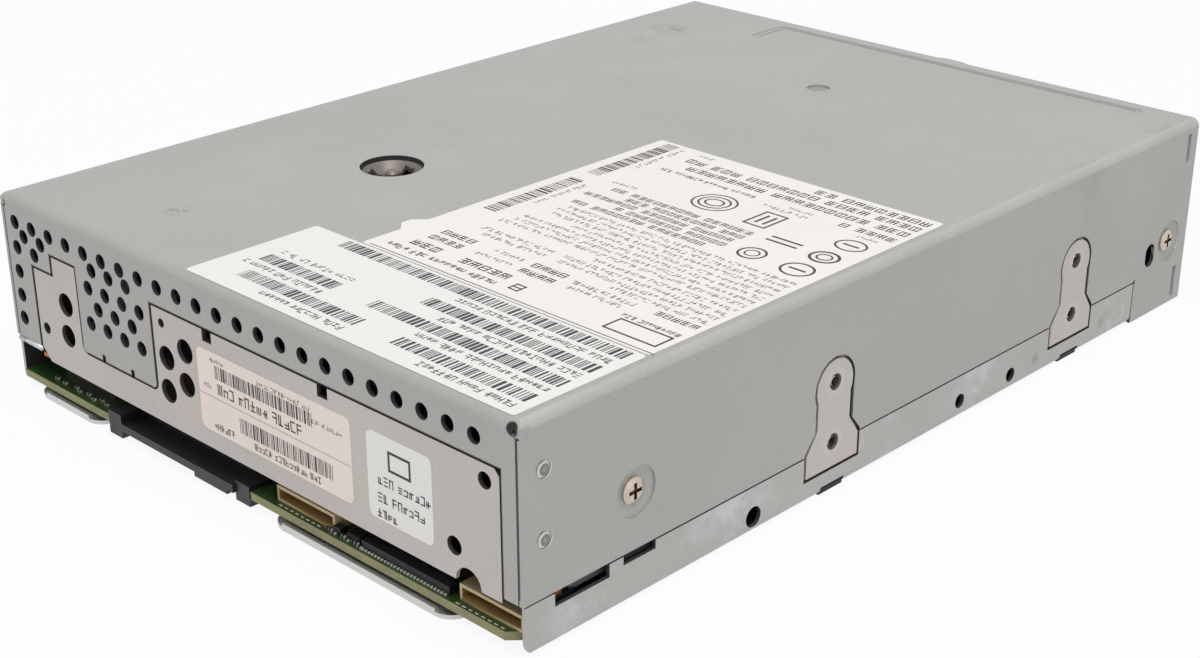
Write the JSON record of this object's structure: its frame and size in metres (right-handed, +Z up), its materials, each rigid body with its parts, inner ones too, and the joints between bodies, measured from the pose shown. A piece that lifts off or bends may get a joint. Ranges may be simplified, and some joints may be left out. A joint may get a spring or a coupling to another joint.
{
  "type": "tape drive",
  "caption": "Half-height data tape drive in a bare folded steel case, with perforated rear flange, side mounting tabs, a single-reel threader and a drawer-type cartridge loader.",
  "frame": {"origin": "middle of the case's underside", "axes": "+Z up, the cartridge slot faces -Y, the connectors face +Y, +X is to the right seen from the slot"},
  "size_m": [0.146, 0.2036, 0.0414],
  "materials": {
    "zinc_steel": "dull zinc-plated sheet steel",
    "warm_zinc_steel": "warmer zinc-plated sheet steel",
    "machine_steel": "bright turned steel",
    "dark_screw_steel": "zinc-plated screw steel",
    "cast_alloy": "bare die-cast alloy",
    "label_paper": "matt coated label stock",
    "black_resin": "black moulded resin",
    "cream_resin": "cream moulded resin",
    "white_resin": "white moulded resin",
    "blue_resin": "blue moulded resin",
    "display_resin": "smoked red window",
    "board": "green solder mask on glass laminate",
    "chip_resin": "black epoxy",
    "brass": "turned brass"
  },
  "bodies": {
    "chassis": {"top_cover": "zinc_steel", "bottom_pan": "zinc_steel", "rear_panel": "warm_zinc_steel", "mount_plate_left": "warm_zinc_steel", "mount_plate_right": "warm_zinc_steel", "cover_screws": "dark_screw_steel", "bottom_screws": "dark_screw_steel", "cover_label_rear": "label_paper", "cover_label_front": "label_paper", "panel_label_wide": "label_paper", "panel_label_narrow": "label_paper", "front_frame": "black_resin", "display_window": "display_resin", "operator_card": "board", "main_board": "board", "board_chips": "chip_resin", "interface_connector": "black_resin", "service_connector": "cream_resin", "power_connector": "cream_resin", "board_standoffs": "machine_steel", "deck": "cast_alloy", "hub_cup": "machine_steel", "take_up_motor": "machine_steel", "supply_motor": "machine_steel", "roller_pins": "machine_steel", "head_guide_posts": "machine_steel", "head_stepper": "machine_steel", "threader_post": "machine_steel", "threader_motor": "machine_steel", "loader_guide_left": "warm_zinc_steel", "loader_guide_right": "warm_zinc_steel", "loader_bracket": "warm_zinc_steel", "loader_motor": "machine_steel"},
    "take_up_reel": {"take_up_reel": "black_resin"},
    "supply_clutch": {"supply_clutch": "brass"},
    "guide_roller_1": {"guide_roller_1": "machine_steel"},
    "guide_roller_2": {"guide_roller_2": "machine_steel"},
    "guide_roller_3": {"guide_roller_3": "machine_steel"},
    "guide_roller_4": {"guide_roller_4": "machine_steel"},
    "loader_slider": {"loader_slider": "zinc_steel"},
    "cartridge_tray": {"cartridge_tray": "warm_zinc_steel"},
    "loader_pinion": {"loader_pinion": "brass"},
    "threader_arm": {"threader_arm": "zinc_steel", "leader_block": "white_resin"},
    "threader_pinion": {"threader_pinion": "brass"},
    "tape_head": {"head_block": "cast_alloy", "head_carriage": "black_resin"},
    "head_lead_screw": {"head_lead_screw": "machine_steel"},
    "eject_button": {"eject_button": "blue_resin"}
  },
  "joints": [
    {"name": "take_up_reel_spin", "type": "hinge", "parent": "chassis", "child": "take_up_reel", "pos_m": [0.0288, 0.0388, 0.023], "axis": [0, 0, 1], "continuous": true},
    {"name": "supply_clutch_spin", "type": "hinge", "parent": "chassis", "child": "supply_clutch", "pos_m": [0, -0.0564, 0.014], "axis": [0, 0, 1], "continuous": true},
    {"name": "guide_roller_1_spin", "type": "hinge", "parent": "chassis", "child": "guide_roller_1", "pos_m": [-0.05203, 0.00464, 0.023], "axis": [0, 0, 1], "continuous": true},
    {"name": "guide_roller_2_spin", "type": "hinge", "parent": "chassis", "child": "guide_roller_2", "pos_m": [-0.05294, 0.02202, 0.023], "axis": [0, 0, 1], "continuous": true},
    {"name": "guide_roller_3_spin", "type": "hinge", "parent": "chassis", "child": "guide_roller_3", "pos_m": [-0.03648, 0.04736, 0.023], "axis": [0, 0, 1], "continuous": true},
    {"name": "guide_roller_4_spin", "type": "hinge", "parent": "chassis", "child": "guide_roller_4", "pos_m": [-0.02223, 0.05326, 0.023], "axis": [0, 0, 1], "continuous": true},
    {"name": "loader_slide", "type": "slide", "parent": "chassis", "child": "loader_slider", "axis": [0, 1, 0], "range_m": [0, 0.014]},
    {"name": "tray_drop", "type": "slide", "parent": "loader_slider", "child": "cartridge_tray", "axis": [0, 0, -1], "range_m": [0, 0.004]},
    {"name": "loader_pinion_spin", "type": "hinge", "parent": "chassis", "child": "loader_pinion", "pos_m": [0.06172, -0.059, 0.0106], "axis": [0, 0, -1], "range_deg": [0, 112]},
    {"name": "threader_arm_swing", "type": "hinge", "parent": "chassis", "child": "threader_arm", "pos_m": [-0.01485, 0.0153, 0.034], "axis": [0, 0, -1], "range_deg": [0, 180]},
    {"name": "threader_pinion_spin", "type": "hinge", "parent": "chassis", "child": "threader_pinion", "pos_m": [-0.01485, 0.0033, 0.036], "axis": [0, 0, -1], "range_deg": [-540, 0]},
    {"name": "head_slide", "type": "slide", "parent": "chassis", "child": "tape_head", "axis": [0, 0, 1], "range_m": [-0.0025, 0.0025]},
    {"name": "head_lead_screw_spin", "type": "hinge", "parent": "chassis", "child": "head_lead_screw", "pos_m": [-0.0312, 0.02592, 0.02], "axis": [0, 0, 1], "range_deg": [-360, 360]},
    {"name": "eject_button_press", "type": "slide", "parent": "chassis", "child": "eject_button", "axis": [0, 1, 0], "range_m": [0, 0.001], "stiffness_N_per_m": 400}
  ],
  "couplings": [
    {"joint": "loader_pinion_spin", "follows": "loader_slide", "rad_per_m": 138.89},
    {"joint": "threader_pinion_spin", "follows": "threader_arm_swing", "ratio": -3},
    {"joint": "head_lead_screw_spin", "follows": "head_slide", "rad_per_m": 2513.3}
  ]
}
